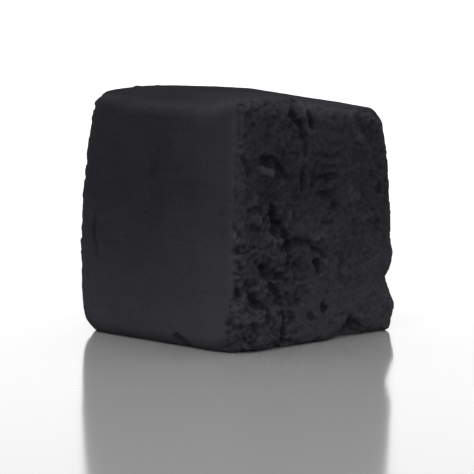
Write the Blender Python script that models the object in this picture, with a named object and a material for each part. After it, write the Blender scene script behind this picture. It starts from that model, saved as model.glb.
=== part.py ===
"""Charcoal lump: one pressed coconut-shell charcoal cube, worn at its edges.

Metres, +Z up. The lump rests on z = 0 with its bounding box centred on the Z axis.
A square bar was pressed through a die along X and parted into cubes, so the +X and -X
sides are rough torn ends, and the other four sides are smooth and slightly crowned.
"""

import bmesh
import bpy
import numpy as np
from mathutils import Vector, noise

NAME = "charcoal_lump"
MM = 0.001

# Driving dimensions of the cube
LENGTH = 24.6 * MM  # along X, between the torn ends
WIDTH = 24.4 * MM  # along Y, between the pressed sides
HEIGHT = 26.9 * MM  # along Z, before the foot is worn and the top tilts
EDGE_RADIUS = 1.3 * MM  # an ordinary worn edge
FOOT_ROUNDING = 0.5 * MM  # radius added round the foot
FOOT_ROUNDING_REACH = 0.4  # how far up the cube it is felt, in cube units
GRID_CUTS = 23  # cuts along each edge of the starting cube
EDGE_CROWDING = 1.4  # above 1, the cuts gather towards the edges

# How far each side of the top leans in, and where up the cube the lean starts (-1 foot, 1 top)
LEAN = {"-X": 1.3 * MM, "+X": 0.8 * MM, "-Y": 1.3 * MM, "+Y": 0.8 * MM}
LEAN_START = -0.2

# How far each side is crowned at its middle
CROWN = {"-X": 0.3 * MM, "+X": 0.4 * MM, "-Y": 0.3 * MM, "+Y": 0.4 * MM, "+Z": 0.45 * MM}

# The top is tilted and a little twisted: how far each of its corners drops, by the signs of X and Y
TOP_DROP = {(-1, -1): 0.1 * MM, (1, -1): 0.0 * MM, (1, 1): 2.7 * MM, (-1, 1): 1.0 * MM}

# The top also falls towards its front edge: how far at the edge's middle, where the fall starts
# (0 middle, 1 edge), and the share of it lost towards the edge's two ends
FRONT_FALL = 1.3 * MM
FRONT_FALL_START = 0.35
FRONT_FALL_EASE = 0.6

# Worn stretches of edge: middle in cube coordinates (-1 to 1), reach in cube units, and the
# radius added, which is negative where the edge is sharper
WORN_EDGES = (
    ((0.50, -1.0, 1.0), 0.40, 0.7 * MM),  # dip in the front top edge
    ((1.0, -1.0, -1.0), 0.34, 1.6 * MM),  # foot of the front vertical edge
    ((1.0, 1.0, -1.0), 0.30, -0.7 * MM),  # sharper corner of the lobe
    ((1.0, 1.0, 1.0), 0.30, 0.6 * MM),
    ((-1.0, -1.0, 1.0), 0.30, 0.5 * MM),
    ((-1.0, -1.0, -1.0), 0.30, 0.6 * MM),
    ((-0.35, 1.0, 1.0), 0.45, 1.1 * MM),
    ((-1.0, 1.0, -0.2), 0.55, 1.2 * MM),
    ((-1.0, -0.3, -1.0), 0.40, 0.9 * MM),
)

# Knocks: middle in cube coordinates, reach, depth. Each is a smooth bowl pressed into the cube.
KNOCKS = (
    ((1.0, -0.13, 1.0), 2.4 * MM, 0.9 * MM),  # crack mouth at the top of the +X end
    ((1.0, -0.58, 0.05), 2.6 * MM, 1.0 * MM),  # deep pit near the front edge
    ((1.0, -0.45, -0.50), 3.4 * MM, 0.6 * MM),  # fissure running down from the pit
    ((1.0, 0.42, -1.0), 1.9 * MM, 1.0 * MM),  # bite out of the bottom edge
    ((1.0, 1.0, -0.56), 2.6 * MM, 0.6 * MM),  # hollow above the bottom corner's lobe
    ((-1.0, 0.35, 0.25), 3.6 * MM, 1.2 * MM),
    ((-1.0, -0.55, -0.35), 2.8 * MM, 0.9 * MM),
    ((-1.0, 0.80, 1.0), 3.2 * MM, 1.4 * MM),
    ((-0.55, 1.0, -1.0), 2.8 * MM, 1.0 * MM),
)

# Relief of the surface
END_RELIEF = 0.45 * MM  # height of the lumps on a torn end
SIDE_RELIEF = 0.12 * MM  # height of the waves on a pressed side
RELIEF_SCALE = 5.0 * MM  # distance from one lump to the next
RELIEF_OCTAVES = 3
TORN_FROM = 0.86  # along X in cube coordinates, where the torn end's lumps begin
RIM_CALM = 0.7  # share of the lumps' height lost at the rim of an end
RIM_SHARPNESS = 6

# What the floor has rubbed off the lower side, and the level below which a point is on the foot
FOOT_WEAR = 0.2 * MM
FOOT_LEVEL = 0.02 * MM

CHARCOAL_COLOUR = (0.021, 0.020, 0.023, 1.0)
CHARCOAL_ROUGHNESS = 0.92

HALF = np.array((LENGTH, WIDTH, HEIGHT)) / 2


def clear_scene():
    """Remove every object, so that the script gives the same result in any file."""
    for old in list(bpy.data.objects):
        bpy.data.objects.remove(old, do_unlink=True)


def smooth_fall(distance, reach):
    """1 at distance 0, falling smoothly to 0 at reach and beyond."""
    return np.clip(1 - (distance / reach) ** 2, 0, 1) ** 2


def cut_cube():
    """A cube of half size 1 whose six sides are cut into a fine grid."""
    cube = bmesh.new()
    bmesh.ops.create_cube(cube, size=2)
    bmesh.ops.subdivide_edges(cube, edges=cube.edges[:], cuts=GRID_CUTS, use_grid_fill=True)
    bmesh.ops.recalc_face_normals(cube, faces=cube.faces[:])
    return cube


def crowd_to_edges(unit):
    """Move the grid lines towards the edges of the cube, where the shape bends most."""
    return np.sign(unit) * (1 - (1 - np.abs(unit)) ** EDGE_CROWDING)


def edge_radius(unit):
    """The radius of the worn edge near each point."""
    radius = EDGE_RADIUS + FOOT_ROUNDING * smooth_fall(unit[:, 2] + 1, FOOT_ROUNDING_REACH)
    for middle, reach, added in WORN_EDGES:
        radius += added * smooth_fall(np.linalg.norm(unit - middle, axis=1), reach)
    return radius[:, None]


def rounded_block(unit):
    """The box with rounded edges: a point goes one radius out from the nearest core point."""
    corner = unit * HALF
    radius = edge_radius(unit)
    core = np.clip(corner, -(HALF - radius), HALF - radius)
    outward = corner - core
    return core + radius * outward / np.linalg.norm(outward, axis=1)[:, None]


def lean_and_crown(points):
    """Lean the sides in towards the top, crown each side, tilt the top and let its front fall."""
    x, y, z = (points / HALF).T
    rise = np.clip((z - LEAN_START) / (1 - LEAN_START), 0, 1) ** 2
    lean_x = np.where(x > 0, LEAN["+X"], LEAN["-X"])
    lean_y = np.where(y > 0, LEAN["+Y"], LEAN["-Y"])
    crown_x = np.where(x > 0, CROWN["+X"], CROWN["-X"]) * (1 - y**2) * (1 - z**2)
    crown_y = np.where(y > 0, CROWN["+Y"], CROWN["-Y"]) * (1 - x**2) * (1 - z**2)
    crown_z = CROWN["+Z"] * (1 - x**2) * (1 - y**2)
    down = np.clip((-y - FRONT_FALL_START) / (1 - FRONT_FALL_START), 0, 1) ** 1.5
    fall = FRONT_FALL * (1 - FRONT_FALL_EASE * x**2) * down
    drop = sum(TOP_DROP[i, j] * (1 + i * x) * (1 + j * y) / 4 for i, j in TOP_DROP)
    shift_x = x * (crown_x - lean_x * rise)
    shift_y = y * (crown_y - lean_y * rise)
    shift_z = (crown_z - drop - fall) * (1 + z) / 2
    return points + np.column_stack((shift_x, shift_y, shift_z))


def knock(unit, points):
    """Press each knock's bowl in towards the middle of the cube."""
    inward = -points / np.linalg.norm(points, axis=1)[:, None]
    for middle, reach, depth in KNOCKS:
        fall = smooth_fall(np.linalg.norm(unit * HALF - np.array(middle) * HALF, axis=1), reach)
        points = points + inward * (depth * fall)[:, None]
    return points


def relief(unit, points):
    """Lumps on the torn ends and faint waves on the pressed sides, along the outward line."""
    waves = np.array(
        [noise.fractal(Vector(p / RELIEF_SCALE), 1.0, 2.0, RELIEF_OCTAVES) for p in points]
    )
    torn = np.clip((np.abs(unit[:, 0]) - TORN_FROM) / (1 - TORN_FROM), 0, 1)
    rim = np.abs(unit[:, 1:]).max(axis=1) ** RIM_SHARPNESS
    height = waves * (SIDE_RELIEF + (END_RELIEF - SIDE_RELIEF) * torn * (1 - RIM_CALM * rim))
    outward = points / np.linalg.norm(points, axis=1)[:, None]
    return points + outward * height[:, None]


def stand(points):
    """Stand the lump on a flat foot at z = 0 and centre its bounding box on the Z axis."""
    points = points + (0, 0, HALF[2] - FOOT_WEAR)
    points[:, 2] = np.where(points[:, 2] < FOOT_LEVEL, 0, points[:, 2])
    middle = (points.max(axis=0) + points.min(axis=0)) / 2
    return points - (middle[0], middle[1], 0)


def charcoal():
    """Matt black charcoal with a trace of blue."""
    material = bpy.data.materials.new("charcoal")
    material.use_nodes = True
    shader = material.node_tree.nodes["Principled BSDF"]
    shader.inputs["Base Color"].default_value = CHARCOAL_COLOUR
    shader.inputs["Roughness"].default_value = CHARCOAL_ROUGHNESS
    shader.inputs["Metallic"].default_value = 0.0
    return material


def build_lump():
    """Shape the cut cube into the worn lump and put it in its own collection."""
    cube = cut_cube()
    mesh = bpy.data.meshes.new(NAME)
    cube.to_mesh(mesh)
    cube.free()

    flat = np.empty(len(mesh.vertices) * 3)
    mesh.vertices.foreach_get("co", flat)
    unit = crowd_to_edges(flat.reshape(-1, 3))
    points = lean_and_crown(rounded_block(unit))
    points = stand(relief(unit, knock(unit, points)))
    mesh.vertices.foreach_set("co", points.ravel())
    mesh.update()
    mesh.shade_smooth()

    lump = bpy.data.objects.new(NAME, mesh)
    lump.data.materials.append(charcoal())
    collection = bpy.data.collections.new(NAME)
    bpy.context.scene.collection.children.link(collection)
    collection.objects.link(lump)
    return lump


clear_scene()
build_lump()
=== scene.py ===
"""Looks of the charcoal lump: one pressed coconut-shell charcoal cube on a pale floor.

The lump's skin is one closed surface. Its points start on the six sides of a cube, as a
function of two parameters on each side, are carried to the worn block, and are then moved
along the block's outward normals by the relief of torn charcoal or pressed charcoal.
Lengths are in metres. The frame gives the size and place of the lump.
"""

import math

import bpy
import numpy as np
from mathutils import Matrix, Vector


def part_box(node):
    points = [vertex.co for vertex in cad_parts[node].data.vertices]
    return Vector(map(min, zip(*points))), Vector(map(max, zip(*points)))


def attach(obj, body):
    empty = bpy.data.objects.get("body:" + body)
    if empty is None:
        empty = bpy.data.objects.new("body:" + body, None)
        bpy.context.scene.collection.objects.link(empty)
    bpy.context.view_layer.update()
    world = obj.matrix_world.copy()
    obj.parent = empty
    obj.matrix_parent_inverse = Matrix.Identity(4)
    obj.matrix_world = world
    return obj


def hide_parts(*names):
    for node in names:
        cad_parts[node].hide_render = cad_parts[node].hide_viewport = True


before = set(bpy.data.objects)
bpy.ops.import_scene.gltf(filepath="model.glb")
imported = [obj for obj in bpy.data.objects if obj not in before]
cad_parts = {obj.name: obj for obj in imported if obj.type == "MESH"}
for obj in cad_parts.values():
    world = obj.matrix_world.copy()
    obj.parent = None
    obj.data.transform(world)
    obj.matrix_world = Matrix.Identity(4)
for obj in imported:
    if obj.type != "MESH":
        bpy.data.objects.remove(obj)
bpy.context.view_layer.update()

MM = 0.001
NODE = "charcoal_lump"
LOW, HIGH = (np.array(corner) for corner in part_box(NODE))

# ---------------------------------------------------------------- the worn block

GRID = (80, 156, 156)  # squares along X, Y and Z on the starting cube
END_CROWDING = 1.3  # above 1, the grid lines along X gather towards the torn ends
BLOCK = np.array((24.6, 24.4, 26.9)) * MM  # the block before its sides crown and its foot wears
HALF = BLOCK / 2
EDGE_RADIUS = 1.3 * MM  # an ordinary worn edge
FOOT_ROUNDING = 0.5 * MM  # added to the radius round the foot
FOOT_ROUNDING_REACH = 0.4  # how far up the cube it is felt, in cube units

# How far each side of the top leans in, and where up the cube the lean starts (-1 foot, 1 top)
LEAN = {"-X": 1.3 * MM, "+X": 0.8 * MM, "-Y": 1.3 * MM, "+Y": 0.8 * MM}
LEAN_START = -0.2

# How far each side is crowned at its middle
CROWN = {"-X": 0.3 * MM, "+X": 0.4 * MM, "-Y": 0.3 * MM, "+Y": 0.4 * MM, "+Z": 0.45 * MM}

# How far each corner of the tilted top drops, by the signs of X and Y
TOP_DROP = {(-1, -1): 0.1 * MM, (1, -1): 0.0 * MM, (1, 1): 2.7 * MM, (-1, 1): 1.0 * MM}

# The top also falls towards its front edge: how far at the edge's middle, where the fall starts
# (0 middle, 1 edge), the power of its curve, and the share of it lost towards the edge's two ends
FRONT_FALL = 1.3 * MM
FRONT_FALL_START = 0.35
FRONT_FALL_POWER = 1.5
FRONT_FALL_EASE = 0.6

# Worn stretches of edge: middle in cube coordinates (-1 to 1), reach in cube units, and the
# radius added, which is negative where the edge is sharper
WORN_EDGES = (
    ((0.50, -1.0, 1.0), 0.40, 0.7 * MM),  # dip in the front top edge
    ((1.0, -1.0, -1.0), 0.34, 1.6 * MM),  # foot of the front vertical edge
    ((1.0, 1.0, -1.0), 0.30, -0.7 * MM),  # sharper corner of the lobe
    ((1.0, 1.0, 1.0), 0.30, 0.6 * MM),
    ((-1.0, -1.0, 1.0), 0.30, 0.5 * MM),
    ((-1.0, -1.0, -1.0), 0.30, 0.6 * MM),
    ((-0.35, 1.0, 1.0), 0.45, 1.1 * MM),
    ((-1.0, 1.0, -0.2), 0.55, 1.2 * MM),
    ((-1.0, -0.3, -1.0), 0.40, 0.9 * MM),
)

# Knocks: middle in cube coordinates, reach, depth of each smooth bowl; a negative depth is a swell
KNOCKS = (
    ((1.0, 0.42, -1.0), 2.4 * MM, 0.7 * MM),  # bite out of the bottom edge
    ((1.0, 1.0, -0.56), 2.6 * MM, 0.6 * MM),  # hollow above the bottom corner's lobe
    ((-1.0, 0.35, 0.25), 3.6 * MM, 1.2 * MM),
    ((-1.0, -0.55, -0.35), 2.8 * MM, 0.9 * MM),
    ((-1.0, 0.80, 1.0), 3.2 * MM, 1.4 * MM),
    ((-0.55, 1.0, -1.0), 2.8 * MM, 1.0 * MM),
    ((1.0, 1.0, -0.70), 3.2 * MM, -0.5 * MM),  # the lobe
)

# What the floor has rubbed off the lower side, and the level below which a point is on the foot
FOOT_WEAR = 0.2 * MM
FOOT_LEVEL = 0.02 * MM


def smooth_fall(distance, reach):
    """1 at distance 0, falling smoothly to 0 at reach: (1 - (distance / reach)^2)^2."""
    return np.clip(1 - (distance / reach) ** 2, 0, 1) ** 2


def ramp(value, start, end):
    """0 before start, 1 after end, and the cubic 3t^2 - 2t^3 between them."""
    t = np.clip((value - start) / (end - start), 0, 1)
    return t * t * (3 - 2 * t)


def cube_sides(squares):
    """The six sides of a cube as grids of two parameters, welded along their rims.

    Each side fixes one whole number at its least or greatest and lets the other two run over
    the grid. Points with the same three whole numbers are one point. The whole numbers are then
    carried to -1 to 1, and along X they are crowded: 1 - |x| is raised to a power above 1.
    Returns the points, and the squares as rows of four point numbers.
    """
    lattice, faces, count = [], [], 0
    for axis in range(3):
        across, up = (axis + 1) % 3, (axis + 2) % 3
        u, v = np.indices((squares[across] + 1, squares[up] + 1))
        for end in (0, squares[axis]):
            side = np.empty(u.shape + (3,), int)
            side[..., axis], side[..., across], side[..., up] = end, u, v
            number = count + np.arange(u.size).reshape(u.shape)
            ring = (number[:-1, :-1], number[1:, :-1], number[1:, 1:], number[:-1, 1:])
            if end == 0:
                ring = ring[::-1]
            lattice.append(side.reshape(-1, 3))
            faces.append(np.stack(ring, axis=-1).reshape(-1, 4))
            count += u.size
    points, welded = np.unique(np.concatenate(lattice), axis=0, return_inverse=True)
    unit = 2 * points / squares - 1
    unit[:, 0] = np.sign(unit[:, 0]) * (1 - (1 - np.abs(unit[:, 0])) ** END_CROWDING)
    return unit, welded.ravel()[np.concatenate(faces)]


def edge_radius(unit):
    """The worn edge's radius: an ordinary one, more at the foot, and more or less round each stretch."""
    radius = EDGE_RADIUS + FOOT_ROUNDING * smooth_fall(unit[:, 2] + 1, FOOT_ROUNDING_REACH)
    for middle, reach, added in WORN_EDGES:
        radius += added * smooth_fall(np.linalg.norm(unit - middle, axis=1), reach)
    return radius[:, None]


def rounded_block(unit):
    """The box with rounded edges: a point goes one radius out from the nearest core point."""
    corner = unit * HALF
    radius = edge_radius(unit)
    core = np.clip(corner, -(HALF - radius), HALF - radius)
    outward = corner - core
    return core + radius * outward / np.linalg.norm(outward, axis=1)[:, None]


def lean_and_crown(points):
    """Lean the sides in as the square of the height, crown each as a parabola, tilt the top.

    Towards its front edge the top falls as a power of the distance past a line, and the fall
    eases off as a parabola towards the edge's two ends.
    """
    x, y, z = (points / HALF).T
    rise = np.clip((z - LEAN_START) / (1 - LEAN_START), 0, 1) ** 2
    lean_x = np.where(x > 0, LEAN["+X"], LEAN["-X"])
    lean_y = np.where(y > 0, LEAN["+Y"], LEAN["-Y"])
    crown_x = np.where(x > 0, CROWN["+X"], CROWN["-X"]) * (1 - y**2) * (1 - z**2)
    crown_y = np.where(y > 0, CROWN["+Y"], CROWN["-Y"]) * (1 - x**2) * (1 - z**2)
    crown_z = CROWN["+Z"] * (1 - x**2) * (1 - y**2)
    down = np.clip((-y - FRONT_FALL_START) / (1 - FRONT_FALL_START), 0, 1) ** FRONT_FALL_POWER
    fall = FRONT_FALL * (1 - FRONT_FALL_EASE * x**2) * down
    drop = sum(TOP_DROP[i, j] * (1 + i * x) * (1 + j * y) / 4 for i, j in TOP_DROP)
    shift_x = x * (crown_x - lean_x * rise)
    shift_y = y * (crown_y - lean_y * rise)
    shift_z = (crown_z - drop - fall) * (1 + z) / 2
    return points + np.column_stack((shift_x, shift_y, shift_z))


def knock(unit, points):
    """Press each knock's bowl in towards the middle of the block."""
    inward = -points / np.linalg.norm(points, axis=1)[:, None]
    for middle, reach, depth in KNOCKS:
        fall = smooth_fall(np.linalg.norm(unit * HALF - np.array(middle) * HALF, axis=1), reach)
        points = points + inward * (depth * fall)[:, None]
    return points


def worn_block(unit):
    """The smooth worn block, standing on the frame's floor with its box centred on the frame's."""
    points = knock(unit, lean_and_crown(rounded_block(unit)))
    middle = (points.max(axis=0) + points.min(axis=0)) / 2
    place = (LOW + HIGH) / 2 - middle
    place[2] = LOW[2] + HALF[2] - FOOT_WEAR
    return points + place


# ---------------------------------------------------------------- noise

# Large odd numbers that spread the bits of a cell's three numbers and of the seed
SPREAD = (374761393, 668265263, 2246822519, 3266489917)
LAYER_SHIFT = 7.3  # cells between one layer of noise and the next, so that their lattices differ
VALUE_SEED = 11  # added to the seed for a grain's own values

# A grain's face, in grain sizes: height of its level and tilt, depth of a seam and of a lost grain
GRAIN_LEVEL, GRAIN_TILT, SEAM_DEPTH, LOST_DEPTH = 0.16, 0.30, 0.12, 0.55
SEAM_WIDTH, LOST_RIM = 0.30, 0.22  # how far a seam and a lost grain's wall reach, in gap units
PORE_RADIUS, PORE_SPREAD = 0.15, 0.25  # least radius of a pore, and what is added to the largest


def lattice_value(cell, seed):
    """A number from 0 to 1 for each whole-number cell, by mixing its bits."""
    x, y, z = (cell[..., i].astype(np.int64).astype(np.uint32) for i in range(3))
    to_x, to_y, to_z, to_seed = (np.uint32(number) for number in SPREAD)
    bits = x * to_x + y * to_y + z * to_z + np.uint32(seed * SPREAD[3] % 2**32)
    bits = (bits ^ (bits >> np.uint32(15))) * to_z
    bits = (bits ^ (bits >> np.uint32(13))) * to_seed
    return (bits ^ (bits >> np.uint32(16))).astype(float) / 2.0**32


def soft_noise(points, size, seed):
    """Values from -1 to 1 on a lattice of the given size, blended between its corners.

    The blend along each axis is 6t^5 - 15t^4 + 10t^3.
    """
    spot = points / size
    cell = np.floor(spot)
    t = spot - cell
    t = t * t * t * (t * (t * 6 - 15) + 10)
    total = 0
    for corner in np.ndindex(2, 2, 2):
        weight = np.prod(np.where(corner, t, 1 - t), axis=1)
        total = total + weight * lattice_value(cell + corner, seed)
    return 2 * total - 1


def layered_noise(points, size, layers, seed):
    """Soft noise summed over layers, each half the size and half the height of the last."""
    total, height = 0, 1.0
    for layer in range(layers):
        moved = points + LAYER_SHIFT * size * layer
        total = total + height * soft_noise(moved, size / 2**layer, seed + layer)
        height /= 2
    return total


def wander(points, size, seed):
    """Soft noise along each of the three axes."""
    return np.column_stack([soft_noise(points, size, seed + i) for i in range(3)])


def nearest_grain(points, size, seed):
    """The nearest of the points scattered one to a cell: offset to it, gap to the next, its values.

    The gap is the distance to the second nearest less the distance to the nearest, in cells, so it
    is 0 on the line between two grains. The three values are random from 0 to 1 for each grain.
    """
    spot = points / size
    home = np.floor(spot)
    best = np.full(len(points), np.inf)
    second = best
    offset = np.zeros_like(points)
    owner = np.zeros_like(points)
    for step in np.ndindex(3, 3, 3):
        cell = home + step - 1
        middle = cell + np.column_stack([lattice_value(cell, seed + i) for i in range(3)])
        away = spot - middle
        distance = np.linalg.norm(away, axis=1)
        nearer = distance < best
        second = np.where(nearer, best, np.minimum(second, distance))
        best = np.where(nearer, distance, best)
        offset[nearer] = away[nearer]
        owner[nearer] = cell[nearer]
    values = np.column_stack([lattice_value(owner, seed + VALUE_SEED + i) for i in range(3)])
    return offset, second - best, values


def grain_bed(points, size, height, lost, seed):
    """Heights of packed broken grains of one size, a share of them lost.

    Each grain's face is a plane with its own tilt and level. The height dips in the seams, where
    the gap to the next grain is small, and drops by about half a grain where a grain is lost.
    """
    offset, gap, values = nearest_grain(points, size, seed)
    tilt = np.sum(offset * (values * 2 - 1), axis=1)
    level = values[:, 0] * 2 - 1
    seam = 1 - ramp(gap, 0, SEAM_WIDTH)
    hole = (values[:, 1] < lost) * ramp(gap, 0, LOST_RIM)
    return height * (GRAIN_LEVEL * level + GRAIN_TILT * tilt - SEAM_DEPTH * seam - LOST_DEPTH * hole)


def pores(points, size, share, seed):
    """Depths from 0 to 1 of small round bowls, on a share of the points scattered one to a cell."""
    offset, _, values = nearest_grain(points, size, seed)
    radius = PORE_RADIUS + PORE_SPREAD * values[:, 0]
    return (values[:, 1] < share) * smooth_fall(np.linalg.norm(offset, axis=1), radius)


# ---------------------------------------------------------------- relief

# Marks on the +X end. Each is a line of stations (Y, Z, half width, depth) in millimetres from
# the frame's origin. A mark with negative depths stands proud.
END_MARKS = (
    # crack in the top rim, with bright grains between its two mouths
    ((-2.7, 27.2, 0.6, 0.8), (-2.5, 25.8, 0.5, 0.6)),
    ((-3.7, 24.4, 0.40, 0.6), (-2.8, 23.7, 0.50, 1.1)),
    ((-0.9, 24.4, 0.40, 0.7), (-0.5, 23.1, 0.55, 1.2)),
    ((-2.3, 23.3, 0.40, 0.9), (-2.1, 21.6, 0.40, 0.8), (-2.3, 20.0, 0.35, 0.5)),
    ((-1.9, 25.2, 0.55, -0.35), (-1.6, 24.1, 0.45, -0.3)),
    ((-1.3, 22.5, 0.45, -0.3), (-1.0, 22.0, 0.40, -0.3)),
    ((-2.5, 18.7, 0.35, 0.4), (-2.3, 16.6, 0.40, 0.55)),
    ((-0.6, 18.9, 0.35, 0.4), (-1.2, 16.9, 0.40, 0.55)),
    # deep pit, narrow at its top, with a ridge under it
    ((-7.2, 14.8, 0.40, 0.9), (-7.1, 13.5, 0.85, 1.8), (-7.0, 12.9, 1.10, 1.5)),
    ((-7.3, 11.8, 0.60, -0.4), (-7.2, 10.8, 0.50, -0.3)),
    # fissure from the pit, and pits under it, down to the foot
    ((-6.2, 12.7, 0.45, 0.8), (-5.3, 11.9, 0.55, 1.1), (-4.9, 10.8, 0.60, 1.4), (-4.9, 9.4, 0.50, 1.1)),
    ((-8.3, 8.5, 0.55, 1.0), (-7.8, 8.2, 0.45, 0.7), (-6.4, 8.1, 0.45, 0.7), (-5.8, 7.9, 0.55, 1.0)),
    ((-7.5, 9.8, 0.40, -0.35), (-7.4, 9.1, 0.40, -0.3)),
    ((-7.8, 7.5, 0.45, 0.6), (-6.5, 5.7, 0.50, 0.7), (-5.7, 4.6, 0.40, 0.6)),
    ((-10.4, 5.9, 0.60, 0.8), (-9.5, 4.9, 0.60, 0.9), (-8.5, 4.6, 0.50, 0.7)),
    ((-7.9, 4.6, 0.40, 0.7), (-7.8, 3.2, 0.45, 0.8)),
    ((-7.0, 4.4, 0.45, -0.3), (-6.8, 3.6, 0.40, -0.3)),
    ((-5.7, 3.2, 0.40, 0.7), (-5.5, 1.6, 0.45, 0.9), (-5.5, -0.4, 0.55, 0.9)),
    # ledge
    ((-4.9, 11.3, 0.40, 0.7), (-3.4, 10.9, 0.40, 0.6), (-2.0, 10.9, 0.30, 0.4)),
    ((-2.0, 11.4, 0.40, -0.3), (0.2, 11.4, 0.40, -0.3)),
    ((-1.8, 10.4, 0.30, 0.4), (-0.6, 9.8, 0.35, 0.45), (0.4, 9.0, 0.30, 0.3)),
    # pits
    ((-0.8, 8.8, 0.40, 0.8), (-0.6, 8.0, 0.60, 1.3), (-0.8, 7.6, 0.45, 0.9)),
    ((0.4, 8.4, 0.40, -0.3), (0.4, 7.8, 0.40, -0.3)),
    ((0.5, 4.1, 0.50, 0.8), (0.9, 3.6, 0.50, 0.8)),
    ((-1.6, 3.3, 0.50, 0.5), (-0.9, 2.9, 0.45, 0.5)),
    ((1.9, 14.7, 0.45, 0.4), (2.2, 14.3, 0.45, 0.4)),
    ((0.3, 12.8, 0.40, 0.35), (1.6, 12.7, 0.40, 0.35)),
    # torn layers
    ((-0.5, 19.6, 0.30, 0.25), (1.2, 19.7, 0.35, 0.3), (3.1, 19.5, 0.30, 0.2)),
    ((-0.4, 18.5, 0.30, 0.3), (1.3, 18.4, 0.35, 0.35), (2.9, 18.5, 0.30, 0.2)),
    ((-0.3, 17.5, 0.40, 0.45), (1.2, 17.3, 0.45, 0.55), (2.8, 17.5, 0.35, 0.35)),
    ((-0.2, 15.8, 0.35, 0.4), (1.0, 15.6, 0.45, 0.45), (2.2, 15.8, 0.35, 0.3)),
    ((-8.3, 19.6, 0.45, 0.5), (-7.2, 19.8, 0.60, 0.8), (-6.2, 19.1, 0.50, 0.6), (-6.1, 18.2, 0.40, 0.4)),
    ((-8.4, 18.6, 0.50, -0.35), (-7.2, 18.5, 0.50, -0.35)),
    ((-11.0, 20.2, 0.45, 0.5), (-10.2, 18.7, 0.50, 0.6)),
    ((-10.3, 15.0, 0.40, 0.5), (-8.7, 14.9, 0.45, 0.5)),
    ((-9.3, 16.0, 0.50, -0.4), (-9.0, 15.7, 0.50, -0.4)),
    ((-4.8, 14.0, 0.50, -0.35), (-4.5, 13.8, 0.50, -0.35)),
    ((-9.0, 14.1, 0.45, -0.3), (-8.8, 13.8, 0.45, -0.3)),
    # bite out of the bottom edge, and the smoother ground beside it
    ((4.5, -0.2, 0.85, 0.9), (4.8, 0.8, 0.75, 0.9), (5.4, 1.8, 0.70, 0.6), (6.4, 1.4, 0.70, 0.5)),
    ((2.9, 8.8, 0.60, 0.3), (3.2, 6.6, 0.60, 0.35)),
    ((4.7, 15.9, 0.90, -0.25), (5.0, 15.4, 0.90, -0.25)),
    ((6.0, 21.9, 0.60, -0.25), (7.2, 20.9, 0.60, -0.25), (7.9, 19.6, 0.50, -0.2)),
    ((7.2, 23.6, 0.60, 0.4), (7.7, 22.4, 0.60, 0.4)),
)

# Marks on the -X end, as above
FAR_END_MARKS = (
    # slanting crack with a step under it
    ((-8.4, 21.6, 0.35, 0.4), (-6.9, 20.2, 0.50, 0.9), (-5.6, 19.5, 0.45, 0.8), (-4.2, 17.9, 0.50, 0.9)),
    ((-4.2, 17.9, 0.50, 0.9), (-3.7, 16.4, 0.40, 0.6), (-4.3, 15.0, 0.35, 0.4)),
    ((-6.5, 18.9, 0.50, -0.35), (-5.5, 18.2, 0.50, -0.30)),
    # pits round the hollow in the middle
    ((2.6, 18.2, 0.60, 1.1), (3.4, 17.7, 0.70, 1.4), (4.2, 17.8, 0.50, 0.9)),
    ((5.6, 14.9, 0.50, 0.9), (5.9, 14.1, 0.60, 1.0)),
    ((1.2, 13.3, 0.45, 0.8), (1.7, 12.4, 0.55, 1.0), (2.8, 11.9, 0.40, 0.6)),
    ((3.4, 15.9, 0.45, -0.35), (4.2, 15.5, 0.45, -0.3)),
    # torn layers
    ((-9.5, 13.2, 0.35, 0.4), (-8.0, 13.4, 0.40, 0.5), (-6.5, 13.2, 0.30, 0.3)),
    ((-9.2, 12.1, 0.40, 0.5), (-7.8, 11.9, 0.45, 0.6), (-6.2, 12.2, 0.35, 0.4)),
    ((-8.8, 10.7, 0.35, 0.4), (-7.3, 10.5, 0.40, 0.5)),
    ((6.6, 22.0, 0.40, 0.4), (8.0, 21.4, 0.50, 0.6), (9.2, 21.5, 0.40, 0.5)),
    # pits and a fissure near the foot
    ((-5.9, 7.6, 0.60, 1.1), (-5.2, 7.0, 0.60, 1.2)),
    ((-3.9, 5.9, 0.40, 0.6), (-2.8, 4.9, 0.45, 0.8), (-2.4, 3.4, 0.45, 0.7), (-2.9, 1.8, 0.50, 0.8)),
    ((7.4, 7.9, 0.50, 0.8), (8.2, 7.3, 0.55, 0.9)),
    ((3.9, 5.0, 0.45, 0.6), (4.8, 4.2, 0.50, 0.8), (6.2, 4.0, 0.40, 0.6)),
    ((0.6, 8.0, 0.50, -0.35), (1.2, 7.3, 0.50, -0.3)),
)

# Nicks in the edge between the +X end and the front side: height of the middle, half height and
# depth, in millimetres, and how far round the edge they reach
EDGE_NICKS = (
    (25.0, 0.5, 0.45), (22.4, 0.4, 0.3), (19.6, 0.5, 0.45), (16.8, 0.4, 0.3), (14.2, 0.5, 0.35),
    (10.6, 0.7, 1.0), (8.4, 0.6, 0.9), (6.3, 0.4, 0.5), (4.2, 0.5, 0.5),
)
NICK_REACH = 1.9 * MM

# Marks on the front side, as above with X in place of Y
FRONT_MARKS = (
    ((-0.3, 19.4, 1.1, 0.05), (-0.1, 18.4, 1.3, 0.07)),  # soft dent
    ((-9.2, 13.0, 0.45, 0.05), (-9.5, 11.0, 0.55, 0.10), (-8.8, 8.4, 0.45, 0.05)),  # faint scratch
    ((3.4, 1.0, 0.6, 0.3), (4.4, 0.5, 0.6, 0.3)),  # small chip at the foot
)

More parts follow.
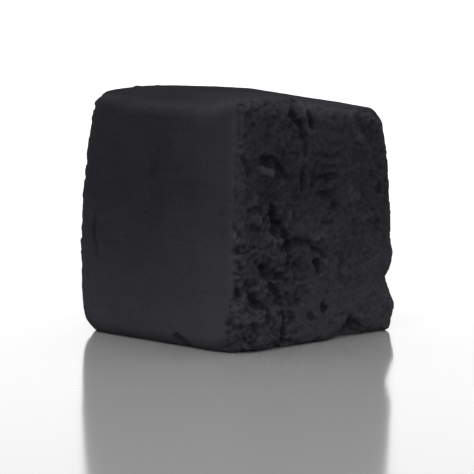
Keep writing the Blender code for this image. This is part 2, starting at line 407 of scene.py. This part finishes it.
# How a mark is cut
MARK_WALL = 0.6  # share of its half width that its wall takes up
SLOPE_BELOW = 1.5  # how much further its slope runs below it than above it
MARK_RAGGED, RAGGED_SIZE = 0.25, 0.7 * MM  # half widths that noise and grains of a size move its edge
FAR_RAGGED = 2  # times as ragged on the -X end
MARK_KEPT, MARK_UNEVEN = 0.72, 0.35  # share of its depth that it keeps, and how much noise changes it
UNEVEN_SIZE = 1.1 * MM
EDGE_CUT = 0.9 * MM  # how deep it may go at an edge; it may go deeper by the distance from it
ON_SIDE = 0.9  # cube coordinate past which a point is on an end or on the front side

# Where torn charcoal shows: how far it reaches round the edges of an end, how much that varies, how
# much is added at the foot of the front vertical edge, and how far up that is felt
TORN_REACH, TORN_RAGGED = 0.7 * MM, 0.6 * MM
TORN_FOOT, TORN_FOOT_REACH = 1.9 * MM, 7.0 * MM
TORN_BLEND = 0.2 * MM  # how wide the change from torn to pressed is
TORN_NOISE = ((0.35, 2.6 * MM, 21), (0.45, 0.8 * MM, 22))  # its ragged line: height, size, seed

# Torn charcoal in a chip: share of the chip's reach, how ragged, and the change from pressed to torn
TORN_CHIP, CHIP_RAGGED, CHIP_BLEND = 0.85, 0.25, (0.10, 0.35)

# Share of the grains' height on the calmest torn ground of the +X and -X ends, and what is added
# there for the crumbs
LEAST_ROUGH = (0.14, 0.30)
LEAST_CRUMBS = 0.2

# What the rougher patches add to that share, their size, and the noise values over which they rise
PATCH_ROUGH, PATCH_SIZE, PATCH_NOISE = 0.36, 5 * MM, (-0.2, 0.6)

# The share at the lower left of the +X end, and where it comes in, towards -Y and towards -Z
LOW_LEFT_ROUGH = 0.75
LOW_LEFT_Y, LOW_LEFT_Z = (0.05, 0.4), (-0.3, 0.2)

# Beds of packed grains on the torn ends: grain size, height, share of the grains lost, seed
CHUNKS = (2.2 * MM, 1.0 * MM, 0.06, 51)
GRAINS = (1.0 * MM, 0.8 * MM, 0.12, 61)
CRUMBS = (0.55 * MM, 0.6 * MM, 0.12, 71)
PROUD_LIMIT = 0.5 * MM  # no torn grain stands further out than this

# How far noise moves the grains about, and the size of that noise
BEND, BEND_SIZE = 0.30 * MM, 1.5 * MM
SHAKE, SHAKE_SIZE = 0.13 * MM, 0.55 * MM
CRUMB_BEND = 0.1 * MM

# The torn ends' lumps: height, size, and how far in they lie
LUMP_HEIGHT, LUMP_SIZE, LUMP_SINK = 0.28 * MM, 5 * MM, 0.08 * MM

# Waves, streaks, speckle and pores of the pressed sides: height and size; the streaks' scale, which
# draws them out along the pressed bar; and the share of places that hold a pore
WAVE_HEIGHT, WAVE_SIZE = 0.07 * MM, 7 * MM
STREAK_HEIGHT, STREAK_SIZE, STREAK_SCALE = 0.006 * MM, 0.6 * MM, (0.15, 1, 1)
SPECKLE_HEIGHT, SPECKLE_SIZE = 0.010 * MM, 0.5 * MM
PORE_DEPTH, PORE_SPACING, PORE_SHARE = 0.14 * MM, 1.1 * MM, 0.4
PORED_SIZE, PORED_NOISE = 5 * MM, (-0.4, 0.5)  # patches with pores: size, and the noise they rise over

# Rubbed edges, lighter from real wear and, along the top's rim, from a painted highlight: how far the
# band reaches, what is added at the top's edges, and how much more those are lightened
WEAR_AND_HIGHLIGHT_REACH, TOP_RIM_HIGHLIGHT_REACH = 2.0 * MM, 1.4 * MM
TOP_RIM_HIGHLIGHT = 0.7
TOP_FROM = (0.75, 0.95)  # where up the cube the top's edges come in
LEAST_WEAR_AND_HIGHLIGHT = 0.3  # share of the wear and painted highlight that is left away from the upright sides
WEAR_AND_HIGHLIGHT_UNEVEN, WEAR_AND_HIGHLIGHT_SIZE = 0.3, 2 * MM  # how uneven the wear and painted highlight are, and the size of their patches

UNFOLD_ROUNDS = 20  # at most
FOLD_LIMIT = 0.15  # least cosine between the skin and the block under it


def carve(flat, marks, ragged):
    """Depth below the surface of a set of marks, at points in a plane.

    For each straight stretch between two stations, the nearest place along it gives the half
    width and the depth. The depth falls over the mark's wall to nothing at one half width from
    the line, and ragged moves that edge in or out, in half widths. Distances below the stretch
    count for less, so the lower slope is longer.
    """
    depth = np.zeros(len(flat))
    for stations in np.array([(a, b) for mark in marks for a, b in zip(mark, mark[1:])]) * MM:
        start, along = stations[0, :2], stations[1, :2] - stations[0, :2]
        share = np.clip((flat - start) @ along / (along @ along), 0, 1)[:, None]
        across = flat - start - share * along
        across[:, 1] = np.where(across[:, 1] < 0, across[:, 1] / SLOPE_BELOW, across[:, 1])
        half_width, deep = (stations[0, 2:] * (1 - share) + stations[1, 2:] * share).T
        inside = 1 + ragged - np.linalg.norm(across, axis=1) / half_width
        cut = deep * ramp(inside, 0, MARK_WALL)
        depth = np.where(np.abs(cut) > np.abs(depth), cut, depth)
    return depth


def torn_reach(unit, points):
    """1 on the torn charcoal and 0 on the pressed sides.

    The torn charcoal reaches round the edge of each end by a ragged distance, further at the
    foot of the edge between the +X end and the front side, and it shows in the chips.
    """
    ragged = sum(height * soft_noise(points, size, seed) for height, size, seed in TORN_NOISE)
    foot = smooth_fall(np.linalg.norm((unit - (1, -1, -1)) * HALF, axis=1), TORN_FOOT_REACH)
    chip = np.zeros(len(points))
    for middle, reach, depth in KNOCKS:
        away = np.linalg.norm((unit - middle) * HALF, axis=1)
        chip = np.maximum(chip, (depth > 0) * smooth_fall(away, TORN_CHIP * reach))
    inside = np.abs(unit[:, 0]) * HALF[0] - HALF[0]
    edge = TORN_REACH + TORN_RAGGED * ragged + TORN_FOOT * foot
    in_chip = ramp(chip + CHIP_RAGGED * ragged, *CHIP_BLEND)
    return np.maximum(ramp(edge + inside, 0, TORN_BLEND), in_chip)


def mark_depth(unit, points, bent, from_edge):
    """Depth of the ends' marks and of the edge's nicks, uneven, and held back near the edges."""
    end, far_end = unit[:, 0] > ON_SIDE, unit[:, 0] < -ON_SIDE
    grain_by_grain = nearest_grain(bent, RAGGED_SIZE, seed=145)[2][:, 0] * 2 - 1
    ragged = MARK_RAGGED * (soft_noise(points, RAGGED_SIZE, seed=149) + grain_by_grain)
    cut = np.zeros(len(points))
    cut[end] = carve(bent[end][:, 1:], END_MARKS, ragged[end])
    cut[far_end] = carve(bent[far_end][:, 1:], FAR_END_MARKS, FAR_RAGGED * ragged[far_end])
    across = np.linalg.norm(points[:, :2] - (HIGH[0], LOW[1]), axis=1)
    for level, half_height, depth in EDGE_NICKS:
        away = np.hypot((bent[:, 2] - level * MM) / (half_height * MM), across / NICK_REACH)
        cut += depth * MM * smooth_fall(away, 1)
    kept = MARK_KEPT + MARK_UNEVEN * soft_noise(points, UNEVEN_SIZE, seed=141)
    return np.minimum(cut * kept, EDGE_CUT + from_edge)


def torn_grains(unit, points, bent, bend):
    """Heights of the torn ends' three beds of grains, the coarser two lower on calm ground.

    The ground is rough in patches, and roughest at the lower left of the +X end.
    """
    least = np.where(unit[:, 0] > 0, *LEAST_ROUGH)
    low_left = ramp(-unit[:, 1], *LOW_LEFT_Y) * ramp(-unit[:, 2], *LOW_LEFT_Z) * (unit[:, 0] > 0)
    rough = least + PATCH_ROUGH * ramp(layered_noise(points, PATCH_SIZE, 2, seed=31), *PATCH_NOISE)
    rough = np.maximum(rough, LOW_LEFT_ROUGH * low_left)
    coarse = grain_bed(bent, *CHUNKS) + grain_bed(bent, *GRAINS)
    crumbs = grain_bed(points + CRUMB_BEND * bend, *CRUMBS)
    return rough * coarse + np.maximum(rough, least + LEAST_CRUMBS) * crumbs


def pressed_detail(unit, points, bent):
    """Heights on the pressed sides: streaks along the bar, speckle, pores and the front's marks."""
    streaks = STREAK_HEIGHT * layered_noise(points * STREAK_SCALE, STREAK_SIZE, 2, seed=111)
    speckle = SPECKLE_HEIGHT * layered_noise(points, SPECKLE_SIZE, 2, seed=115)
    pored = ramp(soft_noise(points, PORED_SIZE, seed=118), *PORED_NOISE)
    pitted = pored * pores(bent, PORE_SPACING, PORE_SHARE, seed=121)
    detail = streaks + speckle - PORE_DEPTH * pitted
    front = unit[:, 1] < -ON_SIDE
    detail[front] -= carve(points[front][:, (0, 2)], FRONT_MARKS, 0.0)
    return detail


def rubbed_and_highlit_edges(unit, points, torn, from_edge):
    """How much each point is lightened by real wear and a painted highlight: a smooth fall from the
    edges, wider and stronger at the top, where it stands for a highlight along the rim.

    The wider band is only on the torn ground beside the top's edges. Away from the upright
    sides it is weaker, and noise makes it uneven.
    """
    on_side = smooth_fall(np.min((1 - np.abs(unit[:, :2])) * HALF[:2], axis=1), TOP_RIM_HIGHLIGHT_REACH)
    # the top's rim: the wider, stronger band there is a painted highlight
    top = ramp(unit[:, 2], *TOP_FROM) * on_side * torn
    wear_and_highlight = smooth_fall(from_edge, WEAR_AND_HIGHLIGHT_REACH + TOP_RIM_HIGHLIGHT_REACH * top) * (1 + TOP_RIM_HIGHLIGHT * top)
    wear_and_highlight *= LEAST_WEAR_AND_HIGHLIGHT + (1 - LEAST_WEAR_AND_HIGHLIGHT) * on_side
    return wear_and_highlight * (1 - WEAR_AND_HIGHLIGHT_UNEVEN + WEAR_AND_HIGHLIGHT_UNEVEN * soft_noise(points, WEAR_AND_HIGHLIGHT_SIZE, seed=151))


def relief(unit, points):
    """Heights along the outward normal, and the masks that the finish reads.

    Torn grains that stand proud are held in by the factor 1 / (1 + height / limit).
    """
    bend = wander(points, BEND_SIZE, seed=90)
    bent = points + BEND * bend + SHAKE * wander(points, SHAKE_SIZE, seed=95)
    from_edge = np.sort((1 - np.abs(unit)) * HALF, axis=1)[:, 1]
    torn = torn_reach(unit, points)
    cut = mark_depth(unit, points, bent, from_edge)

    torn_detail = torn_grains(unit, points, bent, bend) - cut
    held_in = torn_detail / (1 + torn_detail.clip(0) / PROUD_LIMIT)
    detail = (pressed_detail(unit, points, bent) - cut) * (1 - torn) + held_in * torn
    waves = WAVE_HEIGHT * layered_noise(points, WAVE_SIZE, 2, seed=101)
    lumps = LUMP_HEIGHT * layered_noise(points, LUMP_SIZE, 3, seed=41) - LUMP_SINK
    height = detail + waves * (1 - torn) + lumps * torn
    wear_and_highlight = rubbed_and_highlit_edges(unit, points, torn, from_edge)
    return height, {"torn": torn, "wear_and_highlight": wear_and_highlight, "proud": detail / MM}


def triangle_areas(points, squares):
    """Twice the area vectors of each square's two triangles, one after the other."""
    a, b, c, d = (points[squares[:, i]] for i in range(4))
    return np.concatenate((np.cross(b - a, c - a), np.cross(c - a, d - a)))


def unfold(points, squares, block):
    """Ease out the squares that the relief has turned against the block's own surface.

    A triangle is folded where the cosine between its normal and the block's is under the limit.
    Each round moves the corners of squares with a folded triangle to the mean of their neighbours.
    """
    outward = triangle_areas(block, squares)
    start, end = squares.ravel(), np.roll(squares, -1, axis=1).ravel()
    count = np.bincount(start, minlength=len(points))
    for _ in range(UNFOLD_ROUNDS):
        facing = triangle_areas(points, squares)
        lengths = np.linalg.norm(facing, axis=1) * np.linalg.norm(outward, axis=1)
        folded = np.sum(facing * outward, axis=1) < FOLD_LIMIT * lengths
        corners = np.unique(np.concatenate((squares, squares))[folded])
        if not len(corners):
            break
        mean = np.column_stack([np.bincount(start, points[end, i], len(points)) for i in range(3)])
        points = points.copy()
        points[corners] = mean[corners] / count[corners, None]
    return points


def lump_skin():
    """The lump's surface: the worn block moved out by the relief along its own normals."""
    unit, squares = cube_sides(GRID)
    block = worn_block(unit)
    mesh = bpy.data.meshes.new("lump_skin")
    mesh.from_pydata(block, [], squares.tolist())
    normals = np.empty(len(block) * 3)
    mesh.vertex_normals.foreach_get("vector", normals)
    height, masks = relief(unit, block)
    points = unfold(block + normals.reshape(-1, 3) * height[:, None], squares, block)
    points[:, 2] = np.where(points[:, 2] < LOW[2] + FOOT_LEVEL, LOW[2], points[:, 2])
    mesh.vertices.foreach_set("co", points.ravel())
    for name, values in masks.items():
        mesh.attributes.new(name, "FLOAT", "POINT").data.foreach_set("value", values)
    mesh.shade_smooth()
    mesh.update()
    skin = bpy.data.objects.new("lump_skin", mesh)
    bpy.context.collection.objects.link(skin)
    return skin


# ---------------------------------------------------------------- finish

# Charcoal colours, and the tone from 0 to 1 at which each stands
# the dark end is reached by the painted shade in hollows and pores; the pale end by real dust and by the
# painted glint, bounce light and highlight
DARK_CHAR, DARK_CHAR_TONE = (0.0065, 0.0060, 0.0083, 1), 0.05
CHAR, CHAR_TONE = (0.0138, 0.0131, 0.0158, 1), 0.5
PALE_CHAR, PALE_CHAR_TONE = (0.0316, 0.0303, 0.0350, 1), 1.0

# Tone of the pressed sides: its range over their soft clouds, what the streaks and the powder add
# or take, what a pore takes as painted shade, and the heights in millimetres over which it is taken
PRESSED_TONE = (0.46, 0.55)
STREAK_TONE, POWDER_TONE = 0.02, 0.07
PORE_SHADE, PORE_SHADE_HEIGHTS = 0.30, (-0.12, -0.02)

# Tone of the torn ends: its range from the hollows, darkened as painted shade, to proud grains and the
# heights in millimetres where they stand, the range of grains about it, what specks add or take, and
# the painted glint on the proudest grains
TORN_TONE, TORN_HEIGHTS = (0.37, 0.60), (-0.40, 0.12)
GRAIN_RANGE = (0.86, 1.14)
SPECK_TONE = 0.09
GLINT_TONE, GLINT_HEIGHTS = 0.28, (0.08, 0.24)

# Tone added: painted bounce light from the floor near the foot, a lightening of the pressed sides
# towards the +X end, and real wear with a painted highlight on rubbed edges
FOOT_BOUNCE_LIGHT, FOOT_BOUNCE_HEIGHTS = 0.30, (3 * MM, 16 * MM)
END_LIGHTENING, END_LIGHTENING_PLACES = 0.15, (1 * MM, 9 * MM)
EDGE_WEAR_AND_HIGHLIGHT = 0.22

# Sizes in the finish: clouds, drag streaks along the bar and their scale, powder, specks, grains, and
# the finest grain
CLOUD_SIZE = 4 * MM
DRAG_SIZE, DRAG_SCALE = 0.9 * MM, (0.1, 1, 1)
POWDER_SIZE, SPECK_SIZE, CELL_SIZE, FINE_SIZE = 0.26 * MM, 0.45 * MM, 0.42 * MM, 0.16 * MM

TORN_ROUGHNESS, PRESSED_ROUGHNESS = (0.62, 0.92), (0.70, 0.80)
NOISE_LOW, NOISE_HIGH = 0.3, 0.7  # nearly all of a noise node's values lie between these
BUMP_HEIGHT = 0.04 * MM
PRESSED_BUMP, TORN_BUMP = 0.25, 0.7  # strength of the finest grain on each kind of side


def node(tree, kind, **inputs):
    """A new shader node, with its inputs set to numbers or joined to other nodes' outputs.

    An input goes by its name, or by its number after an underscore.
    """
    new = tree.nodes.new(kind)
    for name, value in inputs.items():
        key = int(name[1:]) if name[1:].isdigit() else name.replace("_", " ")
        if isinstance(value, bpy.types.NodeSocket):
            tree.links.new(value, new.inputs[key])
        else:
            new.inputs[key].default_value = value
    return new


def math_node(tree, operation, first, second):
    """The result of one arithmetic operation."""
    new = node(tree, "ShaderNodeMath", _0=first, _1=second)
    new.operation = operation
    return new.outputs[0]


def add_up(tree, total, *others):
    """The sum of several values."""
    for other in others:
        total = math_node(tree, "ADD", total, other)
    return total


def mix(tree, factor, at_nought, at_one):
    """A value that goes from one to another as the factor goes from 0 to 1."""
    return node(tree, "ShaderNodeMix", Factor=factor, A=at_nought, B=at_one).outputs["Result"]


def map_range(tree, value, low, high, to_low, to_high):
    """A value carried from one range to another, and held inside it."""
    names = ("Value", "From Min", "From Max", "To Min", "To Max")
    new = node(tree, "ShaderNodeMapRange", **dict(zip(names, (value, low, high, to_low, to_high))))
    return new.outputs[0]


def noise_node(tree, place, size, detail, roughness):
    """Noise on object coordinates with patches of the given size in metres."""
    inputs = {"Vector": place, "Scale": 1 / size, "Detail": detail, "Roughness": roughness}
    return node(tree, "ShaderNodeTexNoise", **inputs).outputs["Fac"]


def noise_range(tree, noise, low, high):
    """Noise carried to a range."""
    return map_range(tree, noise, NOISE_LOW, NOISE_HIGH, low, high)


def attribute(tree, name):
    """One of the lump's own masks."""
    new = tree.nodes.new("ShaderNodeAttribute")
    new.attribute_name = name
    return new.outputs["Fac"]


def pressed_tone(tree, place, cloud, proud_by):
    """Tone of the pressed sides: soft clouds, faint streaks along the bar, powder, painted shade in the
    pores.
    """
    along = node(tree, "ShaderNodeMapping", Vector=place, Scale=DRAG_SCALE).outputs["Vector"]
    drag = noise_node(tree, along, DRAG_SIZE, detail=3.0, roughness=0.55)
    streak = noise_range(tree, drag, -STREAK_TONE, STREAK_TONE)
    powder = noise_node(tree, place, POWDER_SIZE, detail=3.0, roughness=0.6)
    powder = noise_range(tree, powder, -POWDER_TONE, POWDER_TONE)
    # painted shade in the pores: darker the deeper they go
    pore_shade = map_range(tree, proud_by, *PORE_SHADE_HEIGHTS, -PORE_SHADE, 0.0)
    return add_up(tree, noise_range(tree, cloud, *PRESSED_TONE), pore_shade, streak, powder)


def torn_tone(tree, place, cell_tone, proud_by):
    """Tone of the torn ends: painted shade in the hollows, lighter on proud grains, a painted glint on
    the proudest, its own for each grain.
    """
    # painted shade: darker in the hollows, lighter on proud grains
    shade_by_height = map_range(tree, proud_by, *TORN_HEIGHTS, *TORN_TONE)
    by_grain = map_range(tree, cell_tone, 0, 1, *GRAIN_RANGE)
    speck = noise_node(tree, place, SPECK_SIZE, detail=4.0, roughness=0.65)
    speck = noise_range(tree, speck, -SPECK_TONE, SPECK_TONE)
    # painted glint on the proudest grains
    painted_glint = map_range(tree, proud_by, *GLINT_HEIGHTS, 0.0, GLINT_TONE)
    return add_up(tree, math_node(tree, "MULTIPLY", shade_by_height, by_grain), speck, painted_glint)


def dust_tones(tree, place, torn):
    """Tones added: painted bounce light from the floor near the foot, lighter towards the +X end, and
    real wear with a painted highlight on rubbed edges.
    """
    spot = node(tree, "ShaderNodeSeparateXYZ", Vector=place).outputs
    # painted bounce light from the floor: lighter towards the foot
    foot = map_range(tree, spot["Z"], *FOOT_BOUNCE_HEIGHTS, FOOT_BOUNCE_LIGHT, 0.0)
    # lighter on the pressed sides towards the +X end
    end = map_range(tree, spot["X"], *END_LIGHTENING_PLACES, 0.0, END_LIGHTENING)
    end = math_node(tree, "MULTIPLY", end, map_range(tree, torn, 0, 1, 1, 0))
    # edges: real wear, with a painted highlight along the top's rim
    edge = math_node(tree, "MULTIPLY", attribute(tree, "wear_and_highlight"), EDGE_WEAR_AND_HIGHLIGHT)
    return foot, end, edge


def charcoal_colour(tree, tone):
    """The charcoal's colour at a tone: from dark char through char to pale grey."""
    colours = node(tree, "ShaderNodeValToRGB", Fac=tone)
    soot, dust = colours.color_ramp.elements
    soot.position, soot.color = DARK_CHAR_TONE, DARK_CHAR
    dust.position, dust.color = PALE_CHAR_TONE, PALE_CHAR
    colours.color_ramp.elements.new(CHAR_TONE).color = CHAR
    return colours.outputs["Color"]


def charcoal_finish():
    """Matt black charcoal: char grains, painted shade in the hollows and pores, a painted glint on what
    stands proud, painted floor bounce light near the foot, and edges lighter from wear and a painted
    highlight.
    """
    material = bpy.data.materials.new("charcoal")
    material.use_nodes = True
    tree = material.node_tree
    shader = tree.nodes["Principled BSDF"]
    place = tree.nodes.new("ShaderNodeTexCoord").outputs["Object"]
    torn, proud_by = attribute(tree, "torn"), attribute(tree, "proud")
    cloud = noise_node(tree, place, CLOUD_SIZE, detail=4.0, roughness=0.6)
    cells = node(tree, "ShaderNodeTexVoronoi", Vector=place, Scale=1 / CELL_SIZE)
    cell_tone = node(tree, "ShaderNodeSeparateColor", Color=cells.outputs["Color"]).outputs[0]

    pressed = pressed_tone(tree, place, cloud, proud_by)
    tone = mix(tree, torn, pressed, torn_tone(tree, place, cell_tone, proud_by))
    tone = add_up(tree, tone, *dust_tones(tree, place, torn))
    tree.links.new(charcoal_colour(tree, tone), shader.inputs["Base Color"])

    pressed_roughness = noise_range(tree, cloud, *PRESSED_ROUGHNESS)
    torn_roughness = map_range(tree, cell_tone, 0.0, 1.0, *TORN_ROUGHNESS)
    roughness = mix(tree, torn, pressed_roughness, torn_roughness)
    tree.links.new(roughness, shader.inputs["Roughness"])
    shader.inputs["Specular IOR Level"].default_value = 0.0

    fine = noise_node(tree, place, FINE_SIZE, detail=2.0, roughness=0.6)
    strength = map_range(tree, torn, 0.0, 1.0, PRESSED_BUMP, TORN_BUMP)
    bump = node(tree, "ShaderNodeBump", Strength=strength, Distance=BUMP_HEIGHT, Height=fine)
    tree.links.new(bump.outputs["Normal"], shader.inputs["Normal"])
    return material


# ---------------------------------------------------------------- studio

# The surround: its strength, and that of its dim patch; the patch's middle in degrees, from -Y
# towards +X and up; and the cosines to that middle at which the patch starts and is whole
BRIGHT, DIM = 1.75, 1.2
DIM_AZIMUTH, DIM_ELEVATION = 0, 50
DIM_START, DIM_WHOLE = 0.55, 0.95

# The soft box: its azimuth and elevation in degrees, as above, its watts, distance and width
BOX_AZIMUTH, BOX_ELEVATION = 15, 60
BOX_WATTS, BOX_DISTANCE, BOX_WIDTH = 1.3, 0.6, 0.25

FLOOR_RADIUS, FLOOR_GREY = 4.0, (0.23, 0.23, 0.23, 1)
FLOOR_ROUGHNESS, FLOOR_IOR = 0.12, 2.0

# The camera: azimuth in degrees, distance from the Z axis, height above the floor, height of the
# place on the Z axis that it looks at, and focal length in millimetres
CAMERA_AZIMUTH, CAMERA_DISTANCE, CAMERA_HEIGHT = 45, 255 * MM, 41 * MM
AIM_HEIGHT = 10.2 * MM
FOCAL_LENGTH = 180


def from_angles(azimuth, elevation):
    """The unit direction at an azimuth from -Y towards +X and an elevation, in degrees."""
    azimuth, elevation = math.radians(azimuth), math.radians(elevation)
    flat = math.cos(elevation)
    return Vector((flat * math.sin(azimuth), -flat * math.cos(azimuth), math.sin(elevation)))


def stand_facing(name, data, place, target):
    """A lamp or a camera at a place, turned to face the target."""
    thing = bpy.data.objects.new(name, data)
    thing.location = place
    thing.rotation_euler = (target - place).to_track_quat("-Z", "Y").to_euler()
    bpy.context.collection.objects.link(thing)
    return thing


def white_surround():
    """A white surround with a dim patch high in front."""
    world = bpy.data.worlds.new("white_surround")
    bpy.context.scene.world = world
    world.use_nodes = True
    tree = world.node_tree
    direction = tree.nodes.new("ShaderNodeTexCoord").outputs["Generated"]
    patch = from_angles(DIM_AZIMUTH, DIM_ELEVATION)
    towards = node(tree, "ShaderNodeVectorMath", _0=direction, _1=patch)
    towards.operation = "DOT_PRODUCT"
    strength = map_range(tree, towards.outputs["Value"], DIM_START, DIM_WHOLE, BRIGHT, DIM)
    tree.links.new(strength, tree.nodes["Background"].inputs["Strength"])
    tree.nodes["Background"].inputs["Color"].default_value = (1, 1, 1, 1)


def pale_floor():
    """A pale glossy floor that mirrors the lump."""
    place = (0, 0, LOW[2])
    bpy.ops.mesh.primitive_circle_add(vertices=96, radius=FLOOR_RADIUS, fill_type="NGON", location=place)
    floor = bpy.context.object
    floor.name = "floor"
    pale = bpy.data.materials.new("pale_gloss")
    pale.use_nodes = True
    shader = pale.node_tree.nodes["Principled BSDF"]
    shader.inputs["Base Color"].default_value = FLOOR_GREY
    shader.inputs["Roughness"].default_value = FLOOR_ROUGHNESS
    shader.inputs["IOR"].default_value = FLOOR_IOR
    floor.data.materials.append(pale)


def soft_box():
    """A round soft box above the lump, to the front."""
    lamp = bpy.data.lights.new("soft_box", "AREA")
    lamp.shape = "DISK"
    lamp.size = BOX_WIDTH
    lamp.energy = BOX_WATTS
    stand_facing("soft_box", lamp, BOX_DISTANCE * from_angles(BOX_AZIMUTH, BOX_ELEVATION), Vector())


def camera():
    """A long lens in front of the vertical edge between the pressed side and the torn end."""
    floor = Vector((0, 0, LOW[2]))
    up = Vector((0, 0, 1))
    eye = floor + CAMERA_DISTANCE * from_angles(CAMERA_AZIMUTH, 0) + CAMERA_HEIGHT * up
    lens = bpy.data.cameras.new("camera")
    lens.lens = FOCAL_LENGTH
    lens.clip_start = 10 * MM
    bpy.context.scene.camera = stand_facing("camera", lens, eye, floor + AIM_HEIGHT * up)
    bpy.context.scene.view_settings.view_transform = "Standard"


skin = lump_skin()
skin.data.materials.append(charcoal_finish())
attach(skin, "root")
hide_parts(NODE)
white_surround()
pale_floor()
soft_box()
camera()
